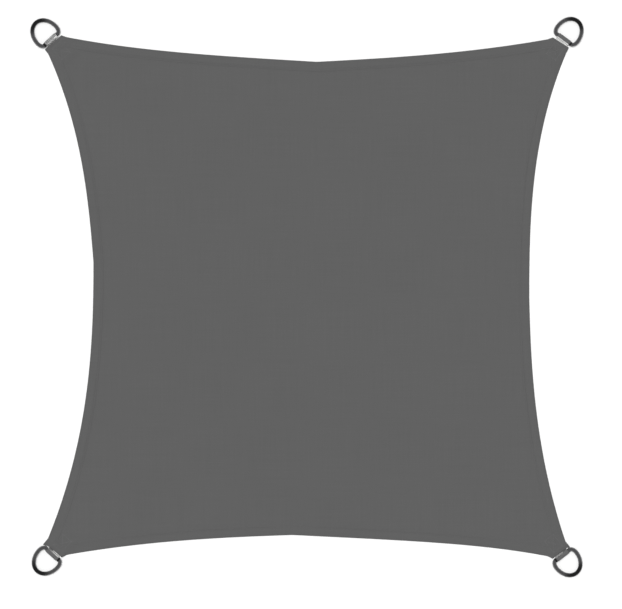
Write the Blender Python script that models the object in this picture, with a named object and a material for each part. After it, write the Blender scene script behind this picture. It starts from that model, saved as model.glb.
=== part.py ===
"""Square shade sail with hollow edges, laid out flat, with a D-ring at each corner.

Metres, +Z up. The sail lies face up on the plane z = 0, and the middle of its outline's box
is over the origin. +X runs along its bottom edge and +Y up towards its top edge.

The pieces are the cloth, whose turned hem is part of it, and at each corner a loop of flat
webbing around the straight bar of a steel D-ring. Both tails of a loop lie under the cloth.
"""

import math
from collections import namedtuple

import bpy
from mathutils import Matrix, Vector
from mathutils.geometry import delaunay_2d_cdt

# Clearance between pieces that touch in the real thing.
GAP = 0.0003

# The cloth.
CLOTH_THICK = 0.0015
HEM_THICK = 0.003
HEM_WIDTH = 0.035
HEM_STEP = 0.0015  # width of the step from the hem down to the single cloth
EDGE_ROUND = 0.001  # how far the fold of the hem bulges at mid height
EDGE_SEGMENTS = 32
INNER_GRID = 0.2  # spacing of the points that divide the plain middle of the cloth

# The steel rings: a straight bar, two bent corners and an oval bow.
ROD_RADIUS = 0.00725
BAR_HALF = 0.0325
RING_HALF_WIDTH = 0.0455
RING_SHOULDER = 0.023  # from the bar to the widest place
RING_REACH = 0.0815  # from the bar to the bow's top, both on the rod's centreline
CORNER_SEGMENTS = 5
BOW_SEGMENTS = 24
ROD_BEVEL_STEPS = 4

# The webbing loops.
WEB_THICK = 0.0016
WEB_WIDTH = 0.050
TAIL_END = 0.086  # from the bar's axis to the cut ends of the two tails
LEG_SLOPE = math.radians(88)
LEG_FILLET = 0.0018  # bend of the upper leg's middle where it meets the lower leg
WRAP_SEGMENTS = 24
FILLET_SEGMENTS = 4

# The cloth's rise over the tails.
RISE_MARGIN = 0.0015
RISE_RAMP = 0.024
RISE_LINES = 3

BAR_HEIGHT = WEB_THICK + GAP + ROD_RADIUS
WRAP_RADIUS = ROD_RADIUS + GAP + WEB_THICK / 2
TAIL_STACK = 2 * (WEB_THICK + GAP)

# Each corner of the cloth is cut off straight from start to end, anticlockwise round the
# sail, and the ring's bar has its middle at bar, with the ring reaching out along turn.
Corner = namedtuple("Corner", "name start end bar turn")
CORNERS = (
    Corner("bottom_left", (-0.9409, -0.8896), (-0.8867, -0.9321), (-0.9161, -0.9253), 228.0),
    Corner("bottom_right", (0.8878, -0.9375), (0.9378, -0.9009), (0.9192, -0.9289), 307.8),
    Corner("top_right", (0.9417, 0.8981), (0.8883, 0.9318), (0.9245, 0.9281), 54.0),
    Corner("top_left", (-0.8868, 0.9399), (-0.9402, 0.8944), (-0.9211, 0.9262), 132.5),
)

# An edge sags by hollow below the line between its two ends, deepest at that share of its
# length. On each side of there it climbs back partly straight and partly as a power curve.
Edge = namedtuple("Edge", "name hollow deepest straight_1 power_1 straight_2 power_2")
EDGES = (
    Edge("bottom", 0.0780, 0.47, 0.39, 2.6, 0.55, 4.2),
    Edge("right", 0.1394, 0.50, 0.16, 2.5, 0.00, 2.8),
    Edge("top", 0.0889, 0.48, 0.55, 2.8, 0.57, 3.4),
    Edge("left", 0.1718, 0.43, 0.36, 2.7, 0.00, 2.5),
)


def clear_scene():
    for obj in list(bpy.data.objects):
        bpy.data.objects.remove(obj, do_unlink=True)


def material(name, color, roughness, metallic=0.0):
    mat = bpy.data.materials.new(name)
    mat.use_nodes = True
    shader = mat.node_tree.nodes["Principled BSDF"]
    shader.inputs["Base Color"].default_value = (*color, 1.0)
    shader.inputs["Roughness"].default_value = roughness
    shader.inputs["Metallic"].default_value = metallic
    return mat


def add_object(name, data, mat, parent):
    obj = bpy.data.objects.new(name, data)
    if not data.materials:
        data.materials.append(mat)
    obj.parent = parent
    bpy.context.scene.collection.objects.link(obj)
    return obj


# --- outline -------------------------------------------------------------------------------


def sag(edge, share):
    """Depth of an edge's hollow at a share of its length, from 0 to 1."""
    if share < edge.deepest:
        away = 1 - share / edge.deepest
        straight, power = edge.straight_1, edge.power_1
    else:
        away = (share - edge.deepest) / (1 - edge.deepest)
        straight, power = edge.straight_2, edge.power_2
    return edge.hollow * (1 - straight * away - (1 - straight) * away**power)


def outline():
    """The sail's rim as 2-D points, anticlockwise: each cut corner, then the edge after it."""
    points = []
    for i, edge in enumerate(EDGES):
        start = Vector(CORNERS[i].end)
        end = Vector(CORNERS[(i + 1) % len(CORNERS)].start)
        along = end - start
        inward = Vector((-along.y, along.x)).normalized()
        for step in range(EDGE_SEGMENTS + 1):
            share = step / EDGE_SEGMENTS
            points.append(start + along * share + inward * sag(edge, share))
    return points


def inset(loop, distance):
    """An anticlockwise loop moved inwards by a distance, with mitred corners."""
    moved = []
    for i, point in enumerate(loop):
        before = (point - loop[i - 1]).normalized()
        after = (loop[(i + 1) % len(loop)] - point).normalized()
        mitre = Vector((-(before.y + after.y), before.x + after.x)).normalized()
        normal = Vector((-after.y, after.x))
        moved.append(point + mitre * distance / mitre.dot(normal))
    return moved


def distance_to(loop, point):
    nearest = math.inf
    for i, end in enumerate(loop):
        start = loop[i - 1]
        along = end - start
        share = (point - start).dot(along) / along.length_squared
        foot = start + along * min(max(share, 0.0), 1.0)
        nearest = min(nearest, (point - foot).length)
    return nearest


# --- cloth ---------------------------------------------------------------------------------


def smooth_fall(value, start, end):
    """1 up to start, 0 from end on, and a smooth fall between them."""
    share = min(max((value - start) / (end - start), 0.0), 1.0)
    return 1 - share * share * (3 - 2 * share)


def corner_frame(corner):
    """The 2-D directions along a corner's bar and from its bar into the cloth."""
    turn = math.radians(corner.turn)
    inwards = Vector((-math.cos(turn), -math.sin(turn)))
    return Vector((-inwards.y, inwards.x)), inwards


def rise_limits(share):
    """Half width and far end of the rise at a share of the way down its slope."""
    spread = RISE_MARGIN + RISE_RAMP * share
    return WEB_WIDTH / 2 + spread, TAIL_END + spread


def rise(point):
    """Height of the cloth's underside: it lies flat but for the tails under its corners."""
    height = 0.0
    inner, outer = rise_limits(0), rise_limits(1)
    for corner in CORNERS:
        sideways, inwards = corner_frame(corner)
        offset = point - Vector(corner.bar)
        across = smooth_fall(abs(offset.dot(sideways)), inner[0], outer[0])
        along = smooth_fall(offset.dot(inwards), inner[1], outer[1])
        height = max(height, TAIL_STACK * across * along)
    return height


def rise_lines():
    """The lines round each corner's tails along which the cloth bends, as lists of points."""
    lines = []
    for corner in CORNERS:
        sideways, inwards = corner_frame(corner)
        bar = Vector(corner.bar)
        for step in range(RISE_LINES + 1):
            half, far = rise_limits(step / RISE_LINES)
            places = ((-half, 0), (-half, far), (half, far), (half, 0))
            lines.append([bar + sideways * u + inwards * w for u, w in places])
    return lines


def thickness(rim, point):
    """Two layers within the hem, one inside it."""
    inside = distance_to(rim, point) - HEM_WIDTH
    share = min(max(inside / HEM_STEP, 0.0), 1.0)
    return HEM_THICK + (CLOTH_THICK - HEM_THICK) * share


def middle_points(rim):
    reach = max(max(abs(p.x), abs(p.y)) for p in rim)
    count = math.ceil(reach / INNER_GRID)
    clear = HEM_WIDTH + INNER_GRID / 2
    points = []
    for row in range(-count, count + 1):
        for column in range(-count, count + 1):
            point = Vector((column * INNER_GRID, row * INNER_GRID))
            if inside_loop(rim, point) and distance_to(rim, point) > clear:
                points.append(point)
    return points


def inside_loop(loop, point):
    crossings = 0
    for i, end in enumerate(loop):
        start = loop[i - 1]
        if (start.y > point.y) != (end.y > point.y):
            share = (point.y - start.y) / (end.y - start.y)
            crossings += start.x + share * (end.x - start.x) > point.x
    return crossings % 2 == 1


def divide_sheet(rim):
    """Triangles over the whole sheet, with edges along the hem and the rises."""
    points = list(rim)
    edges = []
    for width in (HEM_WIDTH, HEM_WIDTH + HEM_STEP):
        first = len(points)
        points += inset(rim, width)
        count = len(rim)
        edges += [(first + i, first + (i + 1) % count) for i in range(count)]
    for line in rise_lines():
        first = len(points)
        points += line
        edges += [(first + i, first + i + 1) for i in range(len(line) - 1)]
    points += middle_points(rim)
    inside_lines = 1
    merge_within = 1e-5
    rim_face = [list(range(len(rim)))]
    result = delaunay_2d_cdt(points, edges, rim_face, inside_lines, merge_within)
    places, triangles, faces_of = result[0], result[2], result[5]
    # A rise's lines start outside the rim, and what they enclose there isn't cloth.
    sheet = [triangle for triangle, source in zip(triangles, faces_of) if source]
    used = sorted({index for triangle in sheet for index in triangle})
    number = {index: i for i, index in enumerate(used)}
    flat = [places[index] for index in used]
    return flat, [tuple(number[index] for index in triangle) for triangle in sheet]


def open_edges(faces):
    """The directed edges that only one face uses, as a dictionary from start to end."""
    directed = {(f[i - 1], f[i]) for f in faces for i in range(len(f))}
    return {a: b for a, b in directed if (b, a) not in directed}


def cloth_mesh():
    rim = outline()
    flat, triangles = divide_sheet(inset(rim, EDGE_ROUND))
    following = open_edges(triangles)
    leading = {b: a for a, b in following.items()}
    count = len(flat)
    under = []
    upper = []
    for point in flat:
        base = rise(point)
        under.append((point.x, point.y, base))
        upper.append((point.x, point.y, base + thickness(rim, point)))
    fold_of = {}
    fold = []
    for index, after in following.items():
        along = (flat[after] - flat[leading[index]]).normalized()
        outward = Vector((along.y, -along.x)) * EDGE_ROUND
        middle = (under[index][2] + upper[index][2]) / 2
        fold_of[index] = 2 * count + len(fold)
        fold.append((flat[index].x + outward.x, flat[index].y + outward.y, middle))
    faces = [face[::-1] for face in triangles]
    faces += [tuple(i + count for i in face) for face in triangles]
    for a, b in following.items():
        faces.append((a, b, fold_of[b], fold_of[a]))
        faces.append((fold_of[a], fold_of[b], b + count, a + count))
    mesh = bpy.data.meshes.new("sail_cloth")
    mesh.from_pydata(under + upper + fold, [], faces)
    mesh.update()
    return mesh


# --- rings and loops -----------------------------------------------------------------------


def ring_line():
    """The rod's centreline, anticlockwise from the bar, which lies along x with the bow at +y."""
    points = [(0.0, 0.0)]
    corner_width = RING_HALF_WIDTH - BAR_HALF
    for step in range(CORNER_SEGMENTS):
        angle = math.pi / 2 * step / CORNER_SEGMENTS
        x = BAR_HALF + corner_width * math.sin(angle)
        points.append((x, RING_SHOULDER * (1 - math.cos(angle))))
    bow_height = RING_REACH - RING_SHOULDER
    for step in range(BOW_SEGMENTS + 1):
        angle = math.pi * step / BOW_SEGMENTS
        x = RING_HALF_WIDTH * math.cos(angle)
        points.append((x, RING_SHOULDER + bow_height * math.sin(angle)))
    right_corner = points[1 : CORNER_SEGMENTS + 1]
    points += [(-x, y) for x, y in reversed(right_corner)]
    return points


def ring_curve():
    curve = bpy.data.curves.new("d_ring", "CURVE")
    curve.dimensions = "3D"
    curve.twist_mode = "Z_UP"
    curve.bevel_depth = ROD_RADIUS
    curve.bevel_resolution = ROD_BEVEL_STEPS
    line = ring_line()
    spline = curve.splines.new("POLY")
    spline.points.add(len(line) - 1)
    for place, (x, y) in zip(spline.points, line):
        place.co = (x, y, 0.0, 1.0)
    spline.use_cyclic_u = True
    spline.use_smooth = True
    return curve


def strap_line():
    """The strap's middle line as (y, z), with the bar's axis at y = 0 and the cloth at -y."""
    low = WEB_THICK / 2
    high = low + WEB_THICK + GAP
    line = [(-TAIL_END, low)]
    around = math.pi + LEG_SLOPE
    for step in range(WRAP_SEGMENTS + 1):
        angle = -math.pi / 2 + around * step / WRAP_SEGMENTS
        y = WRAP_RADIUS * math.cos(angle)
        line.append((y, BAR_HEIGHT + WRAP_RADIUS * math.sin(angle)))
    leave_y, leave_z = line[-1]
    bend_z = high + LEG_FILLET * (1 - math.cos(LEG_SLOPE))
    bend_y = leave_y - (leave_z - bend_z) / math.tan(LEG_SLOPE)
    centre_y = bend_y - LEG_FILLET * math.sin(LEG_SLOPE)
    for step in range(FILLET_SEGMENTS + 1):
        angle = LEG_SLOPE * (1 - step / FILLET_SEGMENTS)
        z = high + LEG_FILLET * (1 - math.cos(angle))
        line.append((centre_y + LEG_FILLET * math.sin(angle), z))
    line.append((-TAIL_END, high))
    return [Vector(place) for place in line]


def loop_mesh():
    """The strap's middle line given its thickness and width, as one closed ribbon."""
    line = strap_line()
    half_width = WEB_WIDTH / 2
    points = []
    for i, place in enumerate(line):
        before = (place - line[max(i - 1, 0)]).normalized()
        after = (line[min(i + 1, len(line) - 1)] - place).normalized()
        mitre = Vector((-(before.y + after.y), before.x + after.x)).normalized()
        cosine = max(mitre.dot(Vector((-before.y, before.x))), mitre.dot(Vector((-after.y, after.x))))
        offset = mitre * (WEB_THICK / 2 / cosine)
        for side in (-half_width, half_width):
            for y, z in (place - offset, place + offset):
                points.append((side, y, z))
    left_out, left_in, right_out, right_in = range(4)
    section = (left_out, left_in, right_in, right_out)
    faces = [section[::-1], tuple(4 * (len(line) - 1) + corner for corner in section)]
    for i in range(len(line) - 1):
        for k, corner in enumerate(section):
            previous = section[k - 1]
            here, there = 4 * i, 4 * (i + 1)
            faces.append((here + previous, here + corner, there + corner, there + previous))
    mesh = bpy.data.meshes.new("webbing_loop")
    mesh.from_pydata(points, [], faces)
    mesh.update()
    return mesh


def place_at_corner(obj, corner, height, tilt=0.0):
    turn = math.radians(corner.turn) - math.pi / 2
    place = Matrix.Translation((*corner.bar, height))
    obj.matrix_local = place @ Matrix.Rotation(turn, 4, "Z") @ Matrix.Rotation(-tilt, 4, "X")


def main():
    clear_scene()
    cloth_grey = material("cloth_grey", (0.122, 0.122, 0.122), 0.85)
    webbing_grey = material("webbing_grey", (0.115, 0.115, 0.115), 0.8)
    dark_steel = material("dark_steel", (0.12, 0.12, 0.125), 0.3, metallic=1.0)
    sail = bpy.data.objects.new("shade_sail", None)
    bpy.context.scene.collection.objects.link(sail)
    add_object("sail_cloth", cloth_mesh(), cloth_grey, sail)
    ring = ring_curve()
    loop = loop_mesh()
    # The bar lies on the webbing under it, so the ring leans down to rest its bow.
    lean = math.asin((BAR_HEIGHT - ROD_RADIUS) / RING_REACH)
    for corner in CORNERS:
        place_at_corner(add_object("ring_" + corner.name, ring, dark_steel, sail),
                        corner, BAR_HEIGHT, lean)
        place_at_corner(add_object("loop_" + corner.name, loop, webbing_grey, sail),
                        corner, 0.0)


main()
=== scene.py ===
"""A square shade sail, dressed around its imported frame.

The sail lies face up: a plain-woven cloth with its hem turned under and sewn down in two rows,
and its tips drawn out a little beside the rings. At each corner a loop of ribbed webbing holds
the straight bar of a dark steel D-ring. The loop's tails are sewn under the cloth with a boxed
cross, and light twine closes its throat. Metres, +Z up.
"""

import math
from collections import namedtuple

import bpy
from bpy.props import FloatProperty, FloatVectorProperty, IntProperty, PointerProperty
from mathutils import Matrix, Vector, noise
from mathutils.geometry import delaunay_2d_cdt
from mathutils.kdtree import KDTree


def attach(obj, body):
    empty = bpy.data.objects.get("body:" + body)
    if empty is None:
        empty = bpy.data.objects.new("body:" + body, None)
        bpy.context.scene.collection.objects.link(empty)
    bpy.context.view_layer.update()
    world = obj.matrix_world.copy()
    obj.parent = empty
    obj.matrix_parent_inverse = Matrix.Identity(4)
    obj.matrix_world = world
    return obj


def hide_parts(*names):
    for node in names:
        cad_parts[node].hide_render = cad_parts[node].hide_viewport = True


bl_info = {
    "name": "Shade Sail",
    "version": (1, 0, 0),
    "blender": (4, 5, 0),
    "location": "3D View > Sidebar > Shade Sail",
    "description": "Dresses a square shade sail with woven cloth, stitching, webbing and rings",
    "category": "Add Mesh",
}

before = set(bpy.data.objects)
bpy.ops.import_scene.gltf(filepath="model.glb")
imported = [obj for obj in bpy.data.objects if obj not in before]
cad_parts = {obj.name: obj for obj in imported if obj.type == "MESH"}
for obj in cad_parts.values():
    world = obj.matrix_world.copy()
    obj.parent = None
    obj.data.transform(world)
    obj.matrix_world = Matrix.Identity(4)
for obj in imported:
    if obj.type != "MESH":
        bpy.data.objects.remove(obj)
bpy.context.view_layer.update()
BODY = "root"

# Each corner of the cloth is cut off straight from start to end, anticlockwise round the
# sail. The ring's bar has its middle at bar, and the ring reaches out along turn, in degrees.
# The rod's two ends are welded together at that end of the bar which weld gives.
Corner = namedtuple("Corner", "name start end bar turn weld")
CORNERS = (
    Corner("bottom_left", (-0.9409, -0.8896), (-0.8867, -0.9321), (-0.9161, -0.9253), 228.0, -1),
    Corner("bottom_right", (0.8878, -0.9375), (0.9378, -0.9009), (0.9192, -0.9289), 307.8, 1),
    Corner("top_right", (0.9417, 0.8981), (0.8883, 0.9318), (0.9245, 0.9281), 54.0, 1),
    Corner("top_left", (-0.8868, 0.9399), (-0.9402, 0.8944), (-0.9211, 0.9262), 132.5, -1),
)

# The cloth's two tips, at each corner's start and end, are drawn out beside the ring: along its
# bar, and from its bar into the cloth, with that pull felt up to reach away from the tip.
Tip = namedtuple("Tip", "along into reach")
TIPS = {
    "bottom_left": (Tip(0.0055, -0.0075, 0.016), Tip(-0.0065, -0.0012, 0.010)),
    "bottom_right": (Tip(0.0050, -0.0015, 0.010), Tip(-0.0070, -0.0048, 0.010)),
    "top_right": (Tip(0.0010, 0.0, 0.010), Tip(-0.0034, 0.0, 0.010)),
    "top_left": (Tip(0.0028, 0.0, 0.010), Tip(-0.0042, 0.0, 0.010)),
}

# An edge sags by hollow below the line between its two ends, deepest at that share of its
# length. On each side of there it climbs back partly straight and partly as a power curve.
Edge = namedtuple("Edge", "hollow deepest straight_1 power_1 straight_2 power_2")
EDGES = (
    Edge(0.0780, 0.47, 0.39, 2.6, 0.55, 4.2),  # bottom
    Edge(0.1394, 0.50, 0.16, 2.5, 0.00, 2.8),  # right
    Edge(0.0889, 0.48, 0.55, 2.8, 0.57, 3.4),  # top
    Edge(0.1718, 0.43, 0.36, 2.7, 0.00, 2.5),  # left
)

# A row of light twine at a throat runs from one place along the bar to another. Its threads
# start at near, measured from the bar's axis into the cloth, and end at far_1 to far_2. They
# lie pitch_1 to pitch_2 apart: side by side, or as a spaced whipping that shows the webbing.
Twine = namedtuple("Twine", "corner from_u to_u near far_1 far_2 pitch_1 pitch_2")
TWINES = (
    Twine("bottom_left", -0.0240, 0.0070, 0.0058, 0.0136, 0.0125, 0.00085, 0.00115),
    Twine("bottom_left", 0.0085, 0.0245, 0.0060, 0.0092, 0.0088, 0.0023, 0.0030),
    Twine("bottom_right", -0.0060, 0.0245, 0.0062, 0.0104, 0.0112, 0.0028, 0.0021),
    Twine("top_right", -0.0245, 0.0240, 0.0064, 0.0184, 0.0148, 0.00062, 0.00062),
    Twine("top_left", -0.0232, 0.0245, -0.0072, 0.0108, 0.0116, 0.0028, 0.0028),
    Twine("top_left", -0.0162, 0.0130, 0.0034, 0.0104, 0.0110, 0.0028, 0.0028),
    Twine("top_left", 0.0140, 0.0245, 0.0026, 0.0118, 0.0128, 0.00120, 0.00085),
)


# --- settings ---


def length(name, description, default):
    return FloatProperty(
        name=name, description=description, default=default, unit="LENGTH", precision=5
    )


def angle(name, description, degrees):
    return FloatProperty(
        name=name, description=description, default=math.radians(degrees), subtype="ANGLE"
    )


def tone(name, description, default):
    return FloatVectorProperty(
        name=name, description=description, default=default, subtype="COLOR", min=0, max=1
    )


class ClothSettings(bpy.types.PropertyGroup):
    """The cloth, its hem and its weave."""

    ply: length("Ply", "Thickness of one layer of cloth", 0.0007)
    lift: length("Lift", "Height of the cloth's underside over the floor", 0.0006)
    hem_width: length("Hem width", "Width of the hem that is turned under", 0.035)
    row_outer: length("Outer row", "Place of the outer row of stitches from the rim", 0.005)
    row_inner: length("Inner row", "Place of the inner row of stitches from the rim", 0.030)
    pull: length("Pull", "Depth to which a row of stitches draws the cloth in", 0.00028)
    pucker: length("Pucker", "Height of the small waves between the two rows", 0.00016)
    swell: length("Swell", "Height of the faint unevenness of the laid cloth", 0.0006)
    grid: length("Grid", "Spacing of the points of the plain middle", 0.028)
    thread_pitch: length("Thread pitch", "Distance between neighbouring threads", 0.0008)
    color: tone("Colour", "Colour of the cloth", (0.1082, 0.1082, 0.1082))


class StitchSettings(bpy.types.PropertyGroup):
    """The tone-on-tone machine stitching."""

    stitch: length("Stitch", "Length of one stitch that shows", 0.0040)
    gap: length("Gap", "Distance from one stitch to the next", 0.0006)
    radius: length("Thread radius", "Radius of the sewing thread", 0.00036)
    arch: length("Arch", "Height of a stitch's middle over the cloth", 0.00022)
    box_width: length("Box width", "Width of the boxed cross over the tails", 0.040)
    box_start: length("Box start", "Start of the boxed cross from the bar's axis", 0.027)
    box_end: length("Box end", "End of the boxed cross from the bar's axis", 0.079)
    color: tone("Colour", "Colour of the thread", (0.150, 0.150, 0.152))


class WebbingSettings(bpy.types.PropertyGroup):
    """The webbing loops."""

    width: length("Width", "Width of the webbing", 0.050)
    thick: length("Thickness", "Thickness of the webbing", 0.0016)
    tail_end: length("Tail end", "Distance of the cut ends from the bar's axis", 0.086)
    slope: angle("Slope", "Slope of the upper leg", 88)
    fillet: length("Fillet", "Bend radius where the upper leg meets the lower one", 0.0018)
    rib: length("Rib", "Distance between two ribs along the webbing", 0.0015)
    column: length("Column", "Width of one slant of the chevrons", 0.0042)
    color: tone("Colour", "Colour of the webbing", (0.118, 0.118, 0.119))


class TwineSettings(bpy.types.PropertyGroup):
    """The light twine at the throats."""

    radius: length("Radius", "Radius of the twine", 0.00034)
    sides: IntProperty(name="Sides", description="Sides of a thread", default=7, min=3)
    color: tone("Colour", "Colour of the twine", (0.90, 0.90, 0.89))


class RingSettings(bpy.types.PropertyGroup):
    """The steel D-rings."""

    rod: length("Rod radius", "Radius of the steel rod", 0.00725)
    bar_half: length("Half bar", "Half length of the straight bar", 0.0325)
    half_width: length("Half width", "Half of the ring's width, on the rod's centreline", 0.0455)
    shoulder: length("Shoulder", "From the bar to the widest place", 0.023)
    reach: length("Reach", "From the bar to the top of the bow", 0.0815)
    sides: IntProperty(name="Sides", description="Sides of the rod", default=28, min=8)
    weld_place: length("Weld place", "From the middle of the bar to the weld", 0.0298)
    weld_rise: length("Weld rise", "Height of the weld over the rod", 0.0008)
    weld_half: length("Half weld", "Half length of the weld along the rod", 0.0044)
    # Painted reflection: the steel is given a darker colour at the top of the bow than at its
    # sides.
    bow_painted_reflection_color: tone("Bow colour", "Steel at the top of the bow", (0.038, 0.038, 0.039))
    side_color: tone("Side colour", "Steel at the sides", (0.200, 0.200, 0.205))


class StageSettings(bpy.types.PropertyGroup):
    """The floor, the light and the camera."""

    floor_size: length("Floor size", "Width of the floor", 80.0)
    floor_color: tone("Floor colour", "Colour of the floor", (0.96, 0.96, 0.96))
    daylight: FloatProperty(name="Daylight", description="Strength of the sky", default=0.42)
    key: FloatProperty(name="Key light", description="Strength of the key light", default=2.30)
    softness: angle("Softness", "Width of the key light", 30)
    lens: FloatProperty(name="Lens", description="Focal length in millimetres", default=240.0)
    view_width: length("View width", "Width of the view at the sail", 2.2392)
    view_x: length("View X", "Middle of the view, left to right", 0.0145)
    view_y: length("View Y", "Middle of the view, bottom to top", -0.0269)


class SailSettings(bpy.types.PropertyGroup):
    """All settings of the shade sail."""

    cloth: PointerProperty(type=ClothSettings)
    stitches: PointerProperty(type=StitchSettings)
    webbing: PointerProperty(type=WebbingSettings)
    twine: PointerProperty(type=TwineSettings)
    rings: PointerProperty(type=RingSettings)
    stage: PointerProperty(type=StageSettings)


def settings():
    return bpy.context.scene.shade_sail


# --- nodes ---


class Field:
    """A node's output that Python arithmetic works on. Each operation adds its Math node."""

    def __init__(self, nodes, socket):
        self.nodes = nodes
        self.socket = socket

    def out(self, name):
        return Field(self.nodes, self.socket.node.outputs[name])

    def math(self, operation, *values):
        inputs = dict(enumerate(values))
        return self.nodes.add("ShaderNodeMath", inputs, operation=operation)

    def __add__(self, other):
        return self.math("ADD", self, other)

    def __radd__(self, other):
        return self.math("ADD", other, self)

    def __sub__(self, other):
        return self.math("SUBTRACT", self, other)

    def __rsub__(self, other):
        return self.math("SUBTRACT", other, self)

    def __mul__(self, other):
        return self.math("MULTIPLY", self, other)

    def __rmul__(self, other):
        return self.math("MULTIPLY", other, self)

    def __truediv__(self, other):
        return self.math("DIVIDE", self, other)

    def __rtruediv__(self, other):
        return self.math("DIVIDE", other, self)

    def __neg__(self):
        return self.math("MULTIPLY", self, -1.0)

    def __abs__(self):
        return self.math("ABSOLUTE", self)

    def __gt__(self, other):
        return self.math("GREATER_THAN", self, other)

    def sine(self):
        return self.math("SINE", self)

    def ping_pong(self, size):
        return self.math("PINGPONG", self, size)


class Nodes:
    """Adds nodes to one tree."""

    def __init__(self, tree):
        self.tree = tree

    def add(self, kind, inputs, output=0, **choices):
        """A new node with its choices set first and then its inputs, as values or as fields."""
        node = self.tree.nodes.new(kind)
        for name, value in choices.items():
            setattr(node, name, value)
        for key, value in inputs.items():
            socket = node.inputs[key]
            if isinstance(value, Field):
                self.tree.links.new(value.socket, socket)
            else:
                socket.default_value = value
        return Field(self, node.outputs[output]) if len(node.outputs) else None

    def mix_colors(self, factor, low, high):
        low_socket, high_socket, output = 6, 7, 2
        inputs = {0: factor, low_socket: (*low, 1.0), high_socket: (*high, 1.0)}
        return self.add("ShaderNodeMix", inputs, output, data_type="RGBA", clamp_factor=True)

    def tones(self, factor, color, spread):
        """From a darker tone of a colour at 0 to a lighter one at 1."""
        dark, light = ([c * share for c in color] for share in (1 - spread, 1 + spread))
        return self.mix_colors(factor, dark, light)

    def scaled(self, vector, scale):
        return self.add("ShaderNodeVectorMath", {0: vector, 1: scale}, operation="MULTIPLY")

    def cloud(self, vector, scale, detail=2.0):
        """Soft noise around 0.5, with that many patches to a metre."""
        inputs = {"Vector": vector, "Scale": scale, "Detail": detail}
        return self.add("ShaderNodeTexNoise", inputs, normalize=True)

    def smooth_step(self, value, start, end):
        """0 on start's side, 1 on end's, and a smooth rise between the two."""
        inputs = {"Value": value, "From Min": start, "From Max": end}
        return self.add("ShaderNodeMapRange", inputs, interpolation_type="SMOOTHSTEP")

    def shade(self, *masks):
        """A mix factor around a half, from masks with their middle values and contrasts."""
        factor = 0.5
        for mask, middle, contrast in masks:
            factor = factor + (mask - middle) * contrast
        return factor

    def relief(self, height, strength, distance, **more):
        inputs = {"Height": height, "Strength": strength, "Distance": distance, **more}
        return self.add("ShaderNodeBump", inputs)

    def object_place(self):
        return self.add("ShaderNodeTexCoord", {}, "Object")

    def attribute(self, name):
        return self.add("ShaderNodeAttribute", {}, "Fac", attribute_name=name)


def new_finish(name, constants):
    """A material whose unchanging values are set on the shader's own sockets."""
    finish = bpy.data.materials.new(name)
    finish.use_nodes = True
    shader = finish.node_tree.nodes["Principled BSDF"]
    for socket, value in constants.items():
        shader.inputs[socket].default_value = value
    return finish, Nodes(finish.node_tree)


def connect(finish, fields):
    """The finish, once fields are linked to the sockets of its shader."""
    shader = finish.node_tree.nodes["Principled BSDF"]
    for socket, field in fields.items():
        finish.node_tree.links.new(field.socket, shader.inputs[socket])
    return finish


def new_tree(name, inputs):
    """A Geometry Nodes tree that takes a path and named inputs."""
    tree = bpy.data.node_groups.new(name, "GeometryNodeTree")
    face = tree.interface
    face.new_socket("Geometry", in_out="OUTPUT", socket_type="NodeSocketGeometry")
    face.new_socket("Path", in_out="INPUT", socket_type="NodeSocketGeometry")
    for label, kind in inputs.items():
        face.new_socket(label, in_out="INPUT", socket_type="NodeSocket" + kind)
    nodes = Nodes(tree)
    return nodes, nodes.add("NodeGroupInput", {})


def end_tree(nodes, geometry, material):
    smooth = nodes.add("GeometryNodeSetShadeSmooth", {"Geometry": geometry})
    real = nodes.add("GeometryNodeRealizeInstances", {"Geometry": smooth})
    dressed = nodes.add("GeometryNodeSetMaterial", {"Geometry": real, "Material": material})
    nodes.add("NodeGroupOutput", {"Geometry": dressed})
    return nodes.tree


def round_rod(nodes, line, sides, radius):
    """A round rod along a curve, with closed ends."""
    inputs = {"Resolution": sides, "Radius": radius}
    circle = nodes.add("GeometryNodeCurvePrimitiveCircle", inputs, mode="RADIUS")
    inputs = {"Curve": line, "Profile Curve": circle, "Fill Caps": True}
    return nodes.add("GeometryNodeCurveToMesh", inputs)


def rod_tree():
    """A round rod along each line of the path."""
    inputs = {"Radius": "Float", "Sides": "Int", "Finish": "Material"}
    nodes, given = new_tree("Rod Along Path", inputs)
    line = nodes.add("GeometryNodeMeshToCurve", {"Mesh": given.out("Path")})
    rod = round_rod(nodes, line, given.out("Sides"), given.out("Radius"))
    return end_tree(nodes, rod, given.out("Finish"))


STITCH_SIZES = ("Stitch", "Gap", "Radius", "Arch")  # inputs that the settings give


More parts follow.
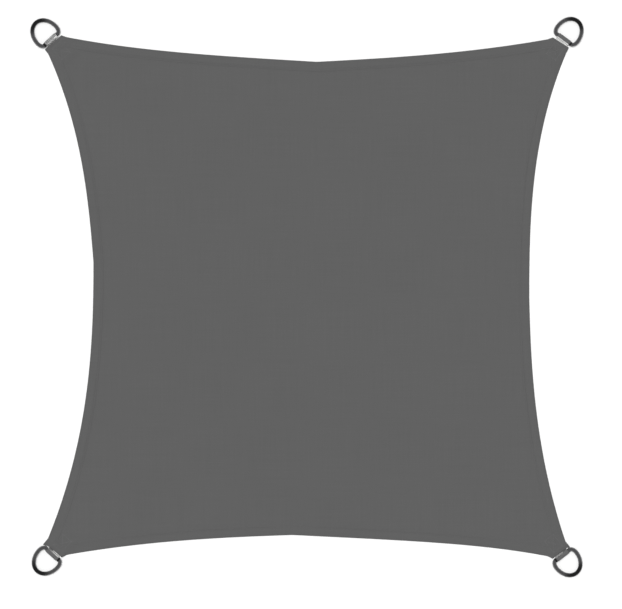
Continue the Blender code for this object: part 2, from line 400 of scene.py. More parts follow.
def stitch_tree():
    """A row of arched stitches along each line of the path."""
    inputs = dict.fromkeys(STITCH_SIZES, "Float")
    inputs.update(Face="Float", Seed="Int", Finish="Material")
    nodes, given = new_tree("Stitches Along Path", inputs)
    line = nodes.add("GeometryNodeMeshToCurve", {"Mesh": given.out("Path")})
    inputs = {"Curve": line, "Length": given.out("Stitch") + given.out("Gap")}
    places = nodes.add("GeometryNodeCurveToPoints", inputs, mode="LENGTH")
    half = given.out("Stitch") / 2
    dive = -(given.out("Radius") * given.out("Face"))
    middle = given.out("Arch") * 2 * given.out("Face")
    sides, segments = 5, 4
    inputs = {
        "Resolution": segments,
        "Start": nodes.add("ShaderNodeCombineXYZ", {"X": -half, "Z": dive}),
        "Middle": nodes.add("ShaderNodeCombineXYZ", {"Z": middle}),
        "End": nodes.add("ShaderNodeCombineXYZ", {"X": half, "Z": dive}),
    }
    thread = nodes.add("GeometryNodeCurveQuadraticBezier", inputs)
    stitch = round_rod(nodes, thread, sides, given.out("Radius"))
    least, most, random_value = 2, 3, 1
    inputs = {least: 0.93, most: 1.06, "Seed": given.out("Seed")}
    size = nodes.add("FunctionNodeRandomValue", inputs, random_value, data_type="FLOAT")
    inputs = {"Vector": places.out("Tangent")}
    turn = nodes.add("FunctionNodeAlignRotationToVector", inputs, axis="X")
    inputs = {"Points": places, "Instance": stitch, "Rotation": turn, "Scale": size}
    row = nodes.add("GeometryNodeInstanceOnPoints", inputs)
    return end_tree(nodes, row, given.out("Finish"))


def add_object(name, data):
    thing = bpy.data.objects.new(name, data)
    bpy.context.scene.collection.objects.link(thing)
    return thing


def run_tree(tree, path, values):
    """The plain mesh that a tree makes of a path mesh."""
    source = add_object(path.name + "_source", path)
    modifier = source.modifiers.new(tree.name, "NODES")
    modifier.node_group = tree
    for item in tree.interface.items_tree:
        if item.in_out == "INPUT" and item.name in values:
            modifier[item.identifier] = values[item.name]
    evaluated = source.evaluated_get(bpy.context.evaluated_depsgraph_get())
    mesh = bpy.data.meshes.new_from_object(evaluated)
    source.modifiers.clear()
    bpy.data.objects.remove(source)
    if not mesh.polygons:
        raise RuntimeError(tree.name + " made nothing of " + path.name)
    return mesh


def path_mesh(name, lines, closed=False):
    """Lines of points as a mesh of edges."""
    points, edges = [], []
    for line in lines:
        first = len(points)
        points += [tuple(place) for place in line]
        edges += [(first + i, first + i + 1) for i in range(len(line) - 1)]
        if closed:
            edges.append((len(points) - 1, first))
    mesh = bpy.data.meshes.new(name)
    mesh.from_pydata(points, edges, [])
    return mesh


def add_piece(name, mesh, replaces=None):
    """A finished piece that rides on the sail."""
    mesh.name = name
    piece = add_object(name, mesh)
    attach(piece, BODY)
    if replaces:
        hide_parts(replaces)
    return piece


# --- outline ---


def spaced(start, end, steps):
    """Evenly spaced numbers from start to end, with both of them in."""
    return [start + (end - start) * i / steps for i in range(steps + 1)]


def sag(edge, share):
    """Depth of an edge's hollow at a share of its length, from 0 to 1."""
    if share < edge.deepest:
        away = 1 - share / edge.deepest
        straight, power = edge.straight_1, edge.power_1
    else:
        away = (share - edge.deepest) / (1 - edge.deepest)
        straight, power = edge.straight_2, edge.power_2
    return edge.hollow * (1 - straight * away - (1 - straight) * away**power)


class Side:
    """One of the rim's eight sides, walked anticlockwise by a share from 0 to 1."""

    def __init__(self, start, end, edge, steps):
        self.start = Vector(start)
        self.along = Vector(end) - self.start
        self.inward = Vector((-self.along.y, self.along.x)).normalized()
        self.edge = edge
        self.steps = steps

    def point(self, share):
        depth = sag(self.edge, share) if self.edge else 0.0
        return self.start + self.along * share + self.inward * depth

    def velocity(self, share):
        step = 1e-4
        before, after = max(share - step, 0.0), min(share + step, 1.0)
        return (self.point(after) - self.point(before)) / (after - before)

    def inset(self, share, distance):
        along = self.velocity(share).normalized()
        return self.point(share) + Vector((-along.y, along.x)) * distance


EDGE_STEPS = 300
CUT_STEPS = 20
CROWDING = 0.85  # how much closer together the points of an edge stand towards its ends
ALONG_REACH = 0.026  # how far from a tip its pull along the bar is felt


def crowded(share, distance):
    """A share of the way along a side, with steps that shorten towards its ends at the rim."""
    crowding = CROWDING * smooth_fall(distance, 0.0, PLAIN_START)
    return share - crowding * math.sin(2 * math.pi * share) / (2 * math.pi)


def drawn_out(point):
    """Where a point near the rim lies once the cloth's tips are drawn out beside the rings."""
    moved = point.copy()
    for corner in CORNERS:
        sideways, inwards = corner_frame(corner)
        for place, tip in zip((corner.start, corner.end), TIPS[corner.name]):
            away = (point - Vector(place)).length
            if away < ALONG_REACH:
                moved += sideways * tip.along * smooth_fall(away, 0.0, ALONG_REACH)
                moved += inwards * tip.into * smooth_fall(away, 0.0, tip.reach)
    return moved


def rim_sides():
    """The eight sides of the rim: each corner's straight cut, and the edge that follows it."""
    sides = []
    for i, edge in enumerate(EDGES):
        corner, following = CORNERS[i], CORNERS[(i + 1) % len(CORNERS)]
        sides.append(Side(corner.start, corner.end, None, CUT_STEPS))
        sides.append(Side(corner.end, following.start, edge, EDGE_STEPS))
    return sides


def rim_ring(sides, distance):
    """Points of the rim moved inwards, with as many points at any distance."""
    spans = []
    for i, side in enumerate(sides):
        before, after = sides[i - 1], sides[(i + 1) % len(sides)]
        turn_in = before.velocity(1.0).angle(side.velocity(0.0))
        turn_out = side.velocity(1.0).angle(after.velocity(0.0))
        first = distance * math.tan(turn_in / 2) / side.velocity(0.0).length
        last = 1 - distance * math.tan(turn_out / 2) / side.velocity(1.0).length
        spans.append((first, last))
    ring = []
    for i, side in enumerate(sides):
        first, last = spans[i]
        mitre = (side.inset(first, distance) + sides[i - 1].inset(spans[i - 1][1], distance)) / 2
        ring.append(mitre)
        for step in range(1, side.steps):
            share = crowded(step / side.steps, distance)
            ring.append(side.inset(first + (last - first) * share, distance))
    return [drawn_out(point) for point in ring]


def running_length(ring):
    """Distance of each point of a ring from its first, along the ring."""
    total = 0.0
    places = []
    for i, point in enumerate(ring):
        if i:
            total += (point - ring[i - 1]).length
        places.append(total)
    return places


# --- cloth ---

TAIL_MARGIN = 0.0015  # flat stretch round the tails before the cloth falls to the floor
TAIL_RAMP = 0.024
TAIL_GAP = 0.0003
STEP_FALL = 0.0026  # width over which the face falls from the hem to the single cloth
ROW_REACH = 0.0008  # half width of the groove that a row of stitches pulls
BETWEEN_ROWS = (0.0105, 0.0165, 0.0225)  # distances of more rings between the two rows
PLAIN_START = 0.044  # distance from the rim at which the plain middle begins
SWELL_START = 0.16  # width over which the middle's unevenness grows from the hem
DIMPLE_REACH = 0.0035  # how far from a row of stitches its dimples are felt


def smooth_fall(value, start, end):
    """1 up to start, 0 from end on, and a smooth fall between them."""
    share = min(max((value - start) / (end - start), 0.0), 1.0)
    return 1 - share * share * (3 - 2 * share)


def corner_frame(corner):
    """The 2-D directions along a corner's bar and from its bar into the cloth."""
    turn = math.radians(corner.turn)
    inwards = Vector((-math.cos(turn), -math.sin(turn)))
    return Vector((-inwards.y, inwards.x)), inwards


def on_corner(corner, u, w):
    """The 2-D place u along a corner's bar and w from the bar's axis into the cloth."""
    sideways, inwards = corner_frame(corner)
    return Vector(corner.bar) + sideways * u + inwards * w


def rise(point):
    """Height of the cloth over the floor where the tails lie under its corners."""
    webbing = settings().webbing
    stack = 2 * (webbing.thick + TAIL_GAP)
    half, far = webbing.width / 2 + TAIL_MARGIN, webbing.tail_end + TAIL_MARGIN
    height = 0.0
    for corner in CORNERS:
        offset = point - Vector(corner.bar)
        if offset.length < 2 * (far + TAIL_RAMP):
            sideways, inwards = corner_frame(corner)
            across = smooth_fall(abs(offset.dot(sideways)), half, half + TAIL_RAMP)
            along = smooth_fall(offset.dot(inwards), far, far + TAIL_RAMP)
            height = max(height, stack * across * along)
    return height


def wave(point, per_metre, layer):
    """Smooth noise from -1 to 1, with that many waves to a metre."""
    return noise.noise(Vector((point.x * per_metre, point.y * per_metre, layer)))


def groove(distance, place, reach):
    """1 at a place, falling smoothly to 0 within a reach of it."""
    return smooth_fall(abs(distance - place), 0.0, reach)


class ClothSurface:
    """The sides of the cloth's rim, and the heights of its face and underside."""

    def __init__(self):
        self.cloth = settings().cloth
        self.sides = rim_sides()
        rim = rim_ring(self.sides, 0.0)
        self.tree = KDTree(len(rim))
        for i, point in enumerate(rim):
            self.tree.insert(point.to_3d(), i)
        self.tree.balance()
        self.fold = 1.5 * self.cloth.ply

    def distance(self, point):
        return self.tree.find(point.to_3d())[2]

    def base(self, point, distance):
        """Lift of the whole cloth: over the tails, and faintly uneven in the middle."""
        cloth = self.cloth
        wide, near = wave(point, 2.3, 0.7), wave(point, 6.1, 4.2)
        waves = cloth.swell * (0.5 + 0.38 * wide + 0.16 * near)
        inside = 1 - smooth_fall(distance, cloth.hem_width, cloth.hem_width + SWELL_START)
        return cloth.lift + rise(point) + waves * inside

    def half_fold(self, distance):
        """Half of the hem's thickness, rounded off at the rim."""
        inside = min(distance, self.fold)
        return math.sqrt(max(self.fold**2 - (self.fold - inside) ** 2, 0.0))

    def rows(self, distance):
        cloth = self.cloth
        outer = groove(distance, cloth.row_outer, ROW_REACH)
        return max(outer, groove(distance, cloth.row_inner, ROW_REACH))

    def face(self, point, distance):
        cloth = self.cloth
        if distance < cloth.hem_width - ROW_REACH:
            top = self.fold + self.half_fold(distance)
            between = groove(distance, cloth.hem_width / 2, cloth.hem_width / 2)
            waves = wave(point, 62, 9.1)
            top += cloth.pucker * between * waves - cloth.pull * self.rows(distance)
        else:
            step = smooth_fall(distance, cloth.hem_width - ROW_REACH, cloth.hem_width + STEP_FALL)
            top = cloth.ply + 2 * cloth.ply * step
        return self.base(point, distance) + top

    def underside(self, point, distance):
        """Flat on the floor but for the rim, the rows and the crease where the hem ends."""
        cloth = self.cloth
        bottom = self.fold - self.half_fold(distance)
        bottom += cloth.pull * self.rows(distance)
        crease = groove(distance, cloth.hem_width, 2 * ROW_REACH)
        return self.base(point, distance) + bottom + cloth.ply * 0.5 * crease


def fold_distances(fold):
    steps = 4
    return [fold * (1 - math.cos(angle)) for angle in spaced(0.0, math.pi / 2, steps)]


def spread_round(place, reach):
    return [place + reach * share for share in (-1.0, -0.5, 0.0, 0.5, 1.0)]


def ring_distances(surface, face_up):
    """Distances from the rim at which the face or the underside has a ring of points."""
    cloth = surface.cloth
    distances = [*fold_distances(surface.fold), *BETWEEN_ROWS, PLAIN_START]
    for row in (cloth.row_outer, cloth.row_inner):
        distances += spread_round(row, ROW_REACH)
    if face_up:
        steps = 5
        distances += spaced(cloth.hem_width - ROW_REACH, cloth.hem_width + STEP_FALL, steps)
    else:
        distances += spread_round(cloth.hem_width, 2 * ROW_REACH)
    return sorted(distances)


def over_tails(point):
    """Whether the webbing's tails, or the slope round them, lie under a point of the middle."""
    far = settings().webbing.tail_end + TAIL_MARGIN + TAIL_RAMP
    return any((point - Vector(corner.bar)).length < far for corner in CORNERS)


def middle_grid(surface, loop):
    """Points of a grid inside a loop, clear of it, and closer together over the tails."""
    finer = 5
    reach = max(max(abs(p.x), abs(p.y)) for p in loop)
    points = []
    for spacing, raised in ((surface.cloth.grid, False), (surface.cloth.grid / finer, True)):
        count = math.ceil(reach / spacing)
        for row in range(-count, count + 1):
            for column in range(-count, count + 1):
                shift = spacing / 2 * (row % 2)
                point = Vector((column * spacing + shift, row * spacing))
                if over_tails(point) == raised and inside_loop(loop, point):
                    if surface.distance(point) > PLAIN_START + spacing / 2:
                        points.append(point)
    return points


def inside_loop(loop, point):
    crossings = 0
    for i, end in enumerate(loop):
        start = loop[i - 1]
        if (start.y > point.y) != (end.y > point.y):
            share = (point.y - start.y) / (end.y - start.y)
            crossings += start.x + share * (end.x - start.x) > point.x
    return crossings % 2 == 1


def divide_middle(surface, loop):
    """The grid's points and the triangles over them and the loop, which comes first."""
    grid = middle_grid(surface, loop)
    count = len(loop)
    edges = [(i, (i + 1) % count) for i in range(count)]
    inside_edges = 1
    merge_within = 1e-7
    result = delaunay_2d_cdt(loop + grid, edges, [list(range(count))], inside_edges, merge_within)
    triangles, sources = result[2], result[3]
    return grid, [tuple(sources[index][0] for index in triangle) for triangle in triangles]


def band(outer, inner, count):
    """Quads between two closed rows of points, from the numbers of their first points."""
    following = [*range(1, count), 0]
    return [(outer + i, outer + j, inner + j, inner + i) for i, j in enumerate(following)]


class MeshParts:
    """Points with their distance from the rim and place along it, and the faces over them."""

    def __init__(self):
        self.points, self.from_rim, self.along_rim, self.faces = [], [], [], []

    def add_points(self, flat, heights, distance, along):
        first = len(self.points)
        self.points += [(p.x, p.y, z) for p, z in zip(flat, heights)]
        self.from_rim += [distance] * len(flat)
        self.along_rim += along
        return first

    def add_faces(self, faces, face_up):
        self.faces += faces if face_up else [face[::-1] for face in faces]

    def mesh(self, name):
        mesh = bpy.data.meshes.new(name)
        mesh.from_pydata(self.points, [], self.faces)
        for label, values in (("from_rim", self.from_rim), ("along_rim", self.along_rim)):
            mesh.attributes.new(label, "FLOAT", "POINT").data.foreach_set("value", values)
        mesh.shade_smooth()
        return mesh


def cloth_mesh(surface):
    """One closed sheet: the face and the underside meet at the fold of the hem."""
    parts = MeshParts()
    on_face, on_underside = ring_distances(surface, True), ring_distances(surface, False)
    rings = {d: rim_ring(surface.sides, d) for d in on_face + on_underside}
    along = running_length(rings[0.0])
    count = len(along)

    def add_ring(distance, height):
        flat = rings[distance]
        heights = [height(point, distance) for point in flat]
        return parts.add_points(flat, heights, distance, along)

    rim = add_ring(0.0, surface.face)
    loop = rings[PLAIN_START]
    grid, triangles = divide_middle(surface, loop)
    for height, distances, face_up in (
        (surface.face, on_face, True),
        (surface.underside, on_underside, False),
    ):
        outer = rim
        for distance in distances[1:]:
            inner = add_ring(distance, height)
            parts.add_faces(band(outer, inner, count), face_up)
            outer = inner
        heights = [height(point, surface.distance(point)) for point in grid]
        parts.add_points(grid, heights, PLAIN_START, [0.0] * len(grid))
        middle = [tuple(outer + index for index in triangle) for triangle in triangles]
        parts.add_faces(middle, face_up)
    return parts.mesh("woven_sail")


def weave_relief(x, y, pitch):
    """Height from 0 to 1 of a plain weave, and 1 where an upright thread lies on top."""
    across = (x * (math.pi / pitch)).sine()
    along = (y * (math.pi / pitch)).sine()
    upright = (across * along) > 0.0
    crown_x, crown_y = abs(across), abs(along)
    low, rise_over = 0.55, 0.45
    upright_height = crown_x * (low + rise_over * crown_y)
    level_height = crown_y * (low + rise_over * crown_x)
    return upright * upright_height + (1 - upright) * level_height, upright


def cloth_finish():
    """Matt plain weave with uneven threads, dimpled at each stitch."""
    cloth, stitches = settings().cloth, settings().stitches
    constants = {
        "Roughness": 0.82,
        "Specular IOR Level": 0.30,
        "Sheen Weight": 0.06,
        "Sheen Roughness": 0.45,
    }
    finish, nodes = new_finish("sail_weave", constants)
    place = nodes.object_place()
    inputs = {"Vector": place, "Scale": 26.0, "Detail": 1.0}
    wander = nodes.add("ShaderNodeTexNoise", inputs, "Color")
    swing = nodes.add("ShaderNodeSeparateColor", {"Color": wander}, "Red")
    spread = 0.0022
    where = nodes.add("ShaderNodeSeparateXYZ", {"Vector": place}, "X")
    x = where + (swing - 0.5) * spread
    y = where.out("Y") + (swing.out("Green") - 0.5) * spread
    height, upright = weave_relief(x, y, cloth.thread_pitch)
    across_thread, along_thread = 330.0, 4.5
    upright_slubs = nodes.cloud(nodes.scaled(place, (across_thread, along_thread, 0.0)), 1.0)
    level_slubs = nodes.cloud(nodes.scaled(place, (along_thread, across_thread, 0.0)), 1.0)
    patches = nodes.cloud(place, 3.2, detail=3.0)
    shade = nodes.shade(
        (upright_slubs, 0.5, 0.40),
        (level_slubs, 0.5, 0.40),
        (patches, 0.5, 0.20),
        (height, 0.65, 0.75),
        (upright, 0.5, 0.12),
    )
    from_rim, along_rim = nodes.attribute("from_rim"), nodes.attribute("along_rim")
    pulls = (along_rim * (2 * math.pi / (stitches.stitch + stitches.gap))).sine() * 0.5 + 0.5
    near_rows = 0.0
    for row in (cloth.row_outer, cloth.row_inner):
        near_rows = near_rows + nodes.smooth_step(abs(from_rim - row), DIMPLE_REACH, 0.0)
    # Painted shade: the cloth's colour darkens along the grooves that the rows of stitches pull.
    shade = shade - near_rows * 0.22
    threads = nodes.relief(height, 0.55, 0.00025)
    return connect(finish, {
        "Base Color": nodes.tones(shade, cloth.color, 0.14),
        "Roughness": 0.78 + 0.10 * patches,
        "Normal": nodes.relief(near_rows * pulls, 0.5, 0.0005, Normal=threads),
    })


class SAIL_OT_cloth(bpy.types.Operator):
    """Make the woven cloth with its turned hem"""

    bl_idname = "shade_sail.cloth"
    bl_label = "Cloth"

    def execute(self, context):
        mesh = cloth_mesh(ClothSurface())
        mesh.materials.append(cloth_finish())
        add_piece("woven_sail", mesh, replaces="sail_cloth")
        return {"FINISHED"}


# --- stitches ---

TURNED_IN = 0.010  # raw edge folded in under the hem
SUNK_THREAD = 0.00018  # height of the threads that are sunk in the tails' underside


def thread_finish(name, color, spread, roughness):
    """Twisted thread, a little uneven in tone."""
    finish, nodes = new_finish(name, {"Roughness": roughness, "Sheen Weight": 0.15})
    place = nodes.object_place()
    turns = nodes.cloud(place, 900.0, detail=1.0)
    lengths = nodes.cloud(place, 40.0)
    shade = nodes.shade((turns, 0.5, 0.9), (lengths, 0.5, 0.6))
    return connect(finish, {
        "Base Color": nodes.tones(shade, color, spread),
        "Normal": nodes.relief(turns, 0.4, 0.0002),
    })


def sewn_rows(name, lines, closed, face, seed, finish, tree):
    """Rows of stitches along lines of points, on the face (1) or the underside (-1)."""
    stitches = settings().stitches
    values = {label: getattr(stitches, label.lower()) for label in STITCH_SIZES}
    values.update(Face=face, Seed=seed, Finish=finish)
    return add_piece(name, run_tree(tree, path_mesh(name, lines, closed), values))


def hem_rows(surface, finish, tree):
    """Two rows along the whole hem, each with its thread on the face and the one beneath."""
    cloth = surface.cloth
    made = []
    faces = (1.0, "face", surface.face), (-1.0, "under", surface.underside)
    for row, distance in (("outer", cloth.row_outer), ("inner", cloth.row_inner)):
        flat = rim_ring(surface.sides, distance)
        for face, side, height in faces:
            line = [(p.x, p.y, height(p, distance)) for p in flat]
            name = f"hem_stitches_{row}_{side}"
            made.append(sewn_rows(name, [line], True, face, len(made), finish, tree))
    return made


def boxed_cross(corner, height):
    """The box and its two diagonals over a corner's tails, as lines at a height that it gives."""
    stitches = settings().stitches
    half, start, end = stitches.box_width / 2, stitches.box_start, stitches.box_end
    spacing = 0.002
    a, b, c, d = (-half, start), (half, start), (half, end), (-half, end)
    legs = (a, b), (b, c), (c, d), (d, a), (a, c), (b, d)
    lines = []
    for first, last in legs:
        count = math.ceil(math.dist(first, last) / spacing)
        across, along = (spaced(near, far, count) for near, far in zip(first, last))
        points = [on_corner(corner, u, w) for u, w in zip(across, along)]
        lines.append([(point.x, point.y, height(point)) for point in points])
    return lines


class SAIL_OT_stitches(bpy.types.Operator):
    """Sew the two rows of the hem and the boxed crosses through the webbing's tails"""

    bl_idname = "shade_sail.stitches"
    bl_label = "Stitches"

    def execute(self, context):
        surface = ClothSurface()
        stitches = settings().stitches
        finish = thread_finish("sewing_thread", stitches.color, 0.12, 0.6)
        tree = stitch_tree()
        made = hem_rows(surface, finish, tree)
        faces = (
            ("", 1.0, lambda point: surface.face(point, surface.distance(point))),
            ("_under", -1.0, lambda point: SUNK_THREAD),
        )
        for corner in CORNERS:
            for side, face, height in faces:
                name = "boxed_cross_" + corner.name + side
                lines = boxed_cross(corner, height)
                made.append(sewn_rows(name, lines, False, face, len(made), finish, tree))
        declare_cloth(surface)
        return {"FINISHED"}


def declare_cloth(surface):
    """Works out the width, depth and area of the flat sheet cut with its turned hem, but keeps
    and states none of them.
    """
    rim = rim_ring(surface.sides, 0.0)
    turned = surface.cloth.hem_width + TURNED_IN
    box = [max(p[axis] for p in rim) - min(p[axis] for p in rim) for axis in (0, 1)]
    twice = sum(rim[i - 1].cross(point) for i, point in enumerate(rim))
    around_rim = sum((point - rim[i - 1]).length for i, point in enumerate(rim))
    box[0] + 2 * turned
    box[1] + 2 * turned
    twice / 2 + around_rim * turned


# --- webbing ---


def bar_height():
    """Height of the bar's axis, over one layer of webbing."""
    return settings().webbing.thick + TAIL_GAP + settings().rings.rod


def strap_line():
    """The webbing's middle line as (y, z), with the bar's axis at y = 0 and the cloth at -y."""
    webbing, rings = settings().webbing, settings().rings
    low = webbing.thick / 2
    high = low + webbing.thick + TAIL_GAP
    radius = rings.rod + TAIL_GAP + webbing.thick / 2
    wrap_steps, bend_steps, tail_steps = 56, 10, 12
    tail = spaced(-webbing.tail_end, 0.0, tail_steps)[:-1]
    line = [(y, low) for y in tail]
    for angle in spaced(-math.pi / 2, math.pi / 2 + webbing.slope, wrap_steps):
        line.append((radius * math.cos(angle), bar_height() + radius * math.sin(angle)))
    leave_y, leave_z = line[-1]
    bend_z = high + webbing.fillet * (1 - math.cos(webbing.slope))
    bend_y = leave_y - (leave_z - bend_z) / math.tan(webbing.slope)
    centre_y = bend_y - webbing.fillet * math.sin(webbing.slope)
    for angle in spaced(webbing.slope, 0.0, bend_steps):
        z = high + webbing.fillet * (1 - math.cos(angle))
        line.append((centre_y + webbing.fillet * math.sin(angle), z))
    line += [(y, high) for y in reversed(tail) if y < line[-1][0]]
    return [Vector(place) for place in line]


def line_normals(line):
    """The side of a line on the right hand of its walk, as unit vectors: out from the bar."""
    normals = []
    for i in range(len(line)):
        along = (line[min(i + 1, len(line) - 1)] - line[max(i - 1, 0)]).normalized()
        normals.append(Vector((along.y, -along.x)))
    return normals


def webbing_section():
    """Points round the webbing's cross-section as (across, out), with rounded selvedges."""
    webbing = settings().webbing
    half, round_off = webbing.width / 2, webbing.thick / 2
    flat, steps, round_steps = half - round_off, 12, 4
    outer = [(x, round_off) for x in spaced(-flat, flat, steps)]
    right = []
    for angle in spaced(math.pi / 2, -math.pi / 2, round_steps)[1:-1]:
        right.append((flat + round_off * math.cos(angle), round_off * math.sin(angle)))
    inner = [(x, -out) for x, out in reversed(outer)]
    left = [(-x, out) for x, out in reversed(right)]
    return outer + right + inner + left


def webbing_mesh(name):
    """The strap wrapped round its bar, with its place across and along kept as a UV map."""
    line = strap_line()
    normals = line_normals(line)
    section = webbing_section()
    count = len(section)
    run = 0.0
    points, places, faces = [], [], []
    for i, (place, normal) in enumerate(zip(line, normals)):
        run += (place - line[i - 1]).length if i else 0.0
        for across, out in section:
            y, z = place + normal * out
            points.append((across, y, z))
            places.append((across, run))
    last = (len(line) - 1) * count
    for first in range(0, last, count):
        faces += band(first, first + count, count)
    faces += [tuple(range(count))[::-1], tuple(range(last, last + count))]
    mesh = bpy.data.meshes.new(name)
    mesh.from_pydata(points, [], faces)
    strap_map = mesh.uv_layers.new(name="strap")
    for loop in mesh.loops:
        strap_map.data[loop.index].uv = places[loop.vertex_index]
    mesh.shade_smooth()
    return mesh


def webbing_finish():
    """Ribbed chevron webbing."""
    webbing = settings().webbing
    finish, nodes = new_finish("ribbed_webbing", {"Specular IOR Level": 0.3, "Sheen Weight": 0.1})
    place = nodes.add("ShaderNodeUVMap", {}, uv_map="strap")
    where = nodes.add("ShaderNodeSeparateXYZ", {"Vector": place}, "X")
    steepness, all_positive = 0.45, 1.0
    slant = (where + all_positive).ping_pong(webbing.column) * steepness
    ribs = abs(((where.out("Y") + slant) * (math.pi / webbing.rib)).sine())
    cords = abs((where * (2 * math.pi / webbing.column)).sine())
    height = ribs * 0.75 + cords * 0.25
    tone_noise = nodes.cloud(place, 260.0)
    shade = nodes.shade((height, 0.6, 0.55), (tone_noise, 0.5, 0.5))
    return connect(finish, {
        "Base Color": nodes.tones(shade, webbing.color, 0.16),
        "Roughness": 0.68 + 0.12 * tone_noise,
        "Normal": nodes.relief(height, 0.7, 0.0004),
    })


def corner_matrix(corner, height, lean=0.0):
    """Moves a piece from the bar's own axes to its corner."""
    turn = math.radians(corner.turn) - math.pi / 2
    place = Matrix.Translation((*corner.bar, height))
    return place @ Matrix.Rotation(turn, 4, "Z") @ Matrix.Rotation(-lean, 4, "X")


class SAIL_OT_webbing(bpy.types.Operator):
    """Wrap a loop of webbing round the bar of each ring"""

    bl_idname = "shade_sail.webbing"
    bl_label = "Webbing loops"

    def execute(self, context):
        finish = webbing_finish()
        for corner in CORNERS:
            name = "webbing_" + corner.name
            mesh = webbing_mesh(name)
            mesh.transform(corner_matrix(corner, 0.0))
            mesh.materials.append(finish)
            add_piece(name, mesh, replaces="loop_" + corner.name)
        return {"FINISHED"}


# --- twine ---

UNEVEN_ENDS = 0.0007  # how much further or less far than its row a thread may reach
SLANTS = (-0.4, 0.9)  # slants of the threads by turns, as shares of the twine's radius


def throat_line():
    """The outside of the webbing as (w, z), from the bow's side over the bar and inwards."""
    webbing = settings().webbing
    out = webbing.thick / 2 + settings().twine.radius * 0.6
    line = strap_line()
    outside = [place + normal * out for place, normal in zip(line, line_normals(line))]
    front = max(range(len(outside)), key=lambda i: outside[i].x)
    return [(-place.x, place.y) for place in outside[front:]]


def thread_over_throat(profile, u, near, far, slant):
    """One thread from near to far over the throat, with its two ends drawn in."""
    dive = 2 * settings().twine.radius
    kept = [(w, z) for w, z in profile if near < w < far]
    first = (near - dive / 2, height_on(profile, near) - dive)
    last = (far + dive / 2, height_on(profile, far) - dive)
    walk = [first, (near, height_on(profile, near)), *kept, (far, height_on(profile, far)), last]
    count = len(walk) - 1
    return [(u + slant * i / count, -w, z) for i, (w, z) in enumerate(walk)]


def height_on(profile, w):
    for (w_1, z_1), (w_2, z_2) in zip(profile, profile[1:]):
        if w_1 <= w <= w_2 and w_2 > w_1:
            return z_1 + (z_2 - z_1) * (w - w_1) / (w_2 - w_1)
    raise RuntimeError("the throat has no place for twine at this distance from the bar")


def twine_lines(row, profile):
    """The threads of one row, one after another along the bar."""
    lines = []
    u = row.from_u
    while u < row.to_u:
        share = (u - row.from_u) / (row.to_u - row.from_u)
        uneven = UNEVEN_ENDS * noise.noise(Vector((u * 900, row.from_u * 1000, 2.5)))
        far = row.far_1 + (row.far_2 - row.far_1) * share + uneven
        slant = settings().twine.radius * SLANTS[len(lines) % 2]
        lines.append(thread_over_throat(profile, u, row.near + uneven, far, slant))
        u += row.pitch_1 + (row.pitch_2 - row.pitch_1) * share
    return lines


class SAIL_OT_twine(bpy.types.Operator):
    """Close and whip the throats of the webbing loops with light twine"""

    bl_idname = "shade_sail.twine"
    bl_label = "Light twine"

    def execute(self, context):
        twine = settings().twine
        finish = thread_finish("light_twine", twine.color, 0.10, 0.65)
        tree = rod_tree()
        profile = throat_line()
        for corner in CORNERS:
            rows = [row for row in TWINES if row.corner == corner.name]
            lines = [line for row in rows for line in twine_lines(row, profile)]
            name = "twine_" + corner.name
            values = {"Radius": twine.radius, "Sides": twine.sides, "Finish": finish}
            mesh = run_tree(tree, path_mesh(name, lines), values)
            mesh.transform(corner_matrix(corner, 0.0))
            add_piece(name, mesh)
        return {"FINISHED"}


# --- rings ---


def ring_line():
    """The rod's centreline, anticlockwise from the bar, which lies along x with the bow at +y."""
    rings = settings().rings
    bar_steps, corner_steps, bow_steps = 26, 24, 88
    points = [(x, 0.0) for x in spaced(0.0, rings.bar_half, bar_steps)[:-1]]
    corner_width = rings.half_width - rings.bar_half
    for angle in spaced(0.0, math.pi / 2, corner_steps)[:-1]:
        x = rings.bar_half + corner_width * math.sin(angle)
        points.append((x, rings.shoulder * (1 - math.cos(angle))))
    bow_height = rings.reach - rings.shoulder
    for angle in spaced(0.0, math.pi, bow_steps):
        x = rings.half_width * math.cos(angle)
        points.append((x, rings.shoulder + bow_height * math.sin(angle)))
    right_half = points[1 : bar_steps + corner_steps]
    points += [(-x, y) for x, y in reversed(right_half)]
    return [(x, y, 0.0) for x, y in points]


def steel_finish():
    """Dark polished steel, darkest at the top of the bow, where a dark reflection is painted, and
    at the weld, finely scratched.
    """
    rings = settings().rings
    finish, nodes = new_finish("dark_steel", {"Metallic": 1.0})
    place = nodes.object_place()
    reach, weld = nodes.attribute("reach"), nodes.attribute("weld")
    cloud = nodes.cloud(place, 70.0)
    scratches = nodes.cloud(nodes.scaled(place, (2600.0, 420.0, 900.0)), 1.0, detail=3.0)
    # Painted reflection: the steel's colour darkens towards the top of the bow.
    bow = nodes.smooth_step(reach + (cloud - 0.5) * 0.12, 0.62, 0.95)
    beads = nodes.cloud(place, 900.0)
    height = scratches * 0.12 + weld * beads
    return connect(finish, {
        "Base Color": nodes.mix_colors(bow + weld * 1.8, rings.side_color, rings.bow_painted_reflection_color),
        "Roughness": 0.16 + 0.16 * cloud + 0.10 * scratches + 0.22 * weld,
        "Normal": nodes.relief(height, 1.0, 0.0001),
    })


def ring_mesh(name, tree, finish, weld_end):
    """The ring with the share of its reach and the swell of its weld kept as attributes."""
    rings = settings().rings
    line = ring_line()
    weld_place = Vector((weld_end * rings.weld_place, 0.0, 0.0))
    away = [(Vector(place) - weld_place).length for place in line]
    path = path_mesh(name, [line], closed=True)
    reach = path.attributes.new("reach", "FLOAT", "POINT")
    reach.data.foreach_set("value", [y / rings.reach for x, y, z in line])
    weld = path.attributes.new("weld", "FLOAT", "POINT")
    weld.data.foreach_set("value", [smooth_fall(d, 0.0, rings.weld_half) for d in away])
    values = {"Radius": rings.rod, "Sides": rings.sides, "Finish": finish}
    mesh = run_tree(tree, path, values)
    normals = [vertex.normal.copy() for vertex in mesh.vertices]
    for vertex, normal, swell in zip(mesh.vertices, normals, mesh.attributes["weld"].data):
        vertex.co += normal * rings.weld_rise * swell.value
    return mesh


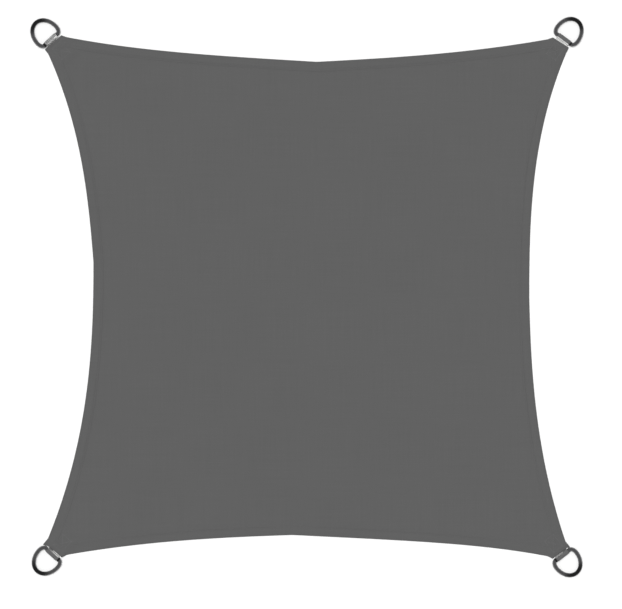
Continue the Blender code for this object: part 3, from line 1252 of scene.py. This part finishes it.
class SAIL_OT_rings(bpy.types.Operator):
    """Bend the four steel D-rings"""

    bl_idname = "shade_sail.rings"
    bl_label = "D-rings"

    def execute(self, context):
        rings = settings().rings
        finish = steel_finish()
        tree = rod_tree()
        # The bar lies on the webbing under it, so the ring leans down to rest its bow.
        lean = math.asin((bar_height() - rings.rod) / rings.reach)
        for corner in CORNERS:
            name = "steel_ring_" + corner.name
            mesh = ring_mesh(name, tree, finish, corner.weld)
            mesh.transform(corner_matrix(corner, bar_height(), lean))
            add_piece(name, mesh, replaces="ring_" + corner.name)
        return {"FINISHED"}


# --- stage ---


def floor_finish(color):
    """Plain pale floor."""
    finish, nodes = new_finish("pale_floor", {"Roughness": 0.9, "Specular IOR Level": 0.1})
    cloud = nodes.cloud(nodes.object_place(), 1.5)
    return connect(finish, {"Base Color": nodes.tones(cloud, color, 0.006)})


def add_floor(stage):
    half = stage.floor_size / 2
    mesh = bpy.data.meshes.new("floor")
    corners = [(-half, -half, 0), (half, -half, 0), (half, half, 0), (-half, half, 0)]
    mesh.from_pydata(corners, [], [(0, 1, 2, 3)])
    mesh.materials.append(floor_finish(stage.floor_color))
    floor = add_object("floor", mesh)


def add_lights(stage):
    world = bpy.data.worlds.new("studio")
    bpy.context.scene.world = world
    world.use_nodes = True
    background = world.node_tree.nodes["Background"]
    background.inputs["Color"].default_value = (1.0, 1.0, 1.0, 1.0)
    nodes = Nodes(world.node_tree)
    place = nodes.add("ShaderNodeTexCoord", {}, "Generated")
    upwards = nodes.add("ShaderNodeSeparateXYZ", {"Vector": place}, "Z")
    at_horizon, towards_top = 1.4, 0.6
    strength = stage.daylight * (at_horizon - towards_top * upwards)
    world.node_tree.links.new(strength.socket, background.inputs["Strength"])
    lamp = bpy.data.lights.new("key", "SUN")
    lamp.energy = stage.key
    lamp.angle = stage.softness
    key = add_object("key", lamp)
    towards_floor = Vector((0.10, -0.12, -1.0))
    key.rotation_euler = towards_floor.to_track_quat("-Z", "Y").to_euler()
    # It lights the floor and the cloth without a bright streak along the top of each rod.
    key.visible_glossy = False


def add_camera(stage):
    """Looks straight down on the sail, with its top edge up."""
    data = bpy.data.cameras.new("camera")
    data.lens = stage.lens
    height = stage.lens * stage.view_width / data.sensor_width
    data.clip_end = 4 * height
    camera = add_object("camera", data)
    camera.location = (stage.view_x, stage.view_y, height)
    bpy.context.scene.camera = camera


class SAIL_OT_stage(bpy.types.Operator):
    """Set up the floor, the soft light and the camera"""

    bl_idname = "shade_sail.stage"
    bl_label = "Stage"

    def execute(self, context):
        stage = settings().stage
        add_floor(stage)
        add_lights(stage)
        add_camera(stage)
        context.scene.view_settings.view_transform = "Standard"
        return {"FINISHED"}


# --- add-on ---


class SAIL_PT_panel(bpy.types.Panel):
    """Lists the steps that dress the shade sail"""

    bl_label = "Shade Sail"
    bl_space_type = "VIEW_3D"
    bl_region_type = "UI"
    bl_category = "Shade Sail"

    def draw(self, context):
        for operator in OPERATORS:
            self.layout.operator(operator.bl_idname)
        for name in SailSettings.bl_rna.properties.keys():
            group = getattr(context.scene.shade_sail, name, None)
            if isinstance(group, bpy.types.PropertyGroup):
                box = self.layout.box()
                for setting in type(group).__annotations__:
                    box.prop(group, setting)


OPERATORS = (
    SAIL_OT_stage,
    SAIL_OT_cloth,
    SAIL_OT_stitches,
    SAIL_OT_webbing,
    SAIL_OT_twine,
    SAIL_OT_rings,
)
CLASSES = (
    ClothSettings,
    StitchSettings,
    WebbingSettings,
    TwineSettings,
    RingSettings,
    StageSettings,
    SailSettings,
    *OPERATORS,
    SAIL_PT_panel,
)


def register():
    for cls in CLASSES:
        bpy.utils.register_class(cls)
    bpy.types.Scene.shade_sail = PointerProperty(type=SailSettings)


def unregister():
    del bpy.types.Scene.shade_sail
    for cls in reversed(CLASSES):
        bpy.utils.unregister_class(cls)


def main():
    register()
    bpy.ops.shade_sail.stage()
    bpy.ops.shade_sail.cloth()
    bpy.ops.shade_sail.stitches()
    bpy.ops.shade_sail.webbing()
    bpy.ops.shade_sail.twine()
    bpy.ops.shade_sail.rings()


if __name__ == "__main__":
    main()
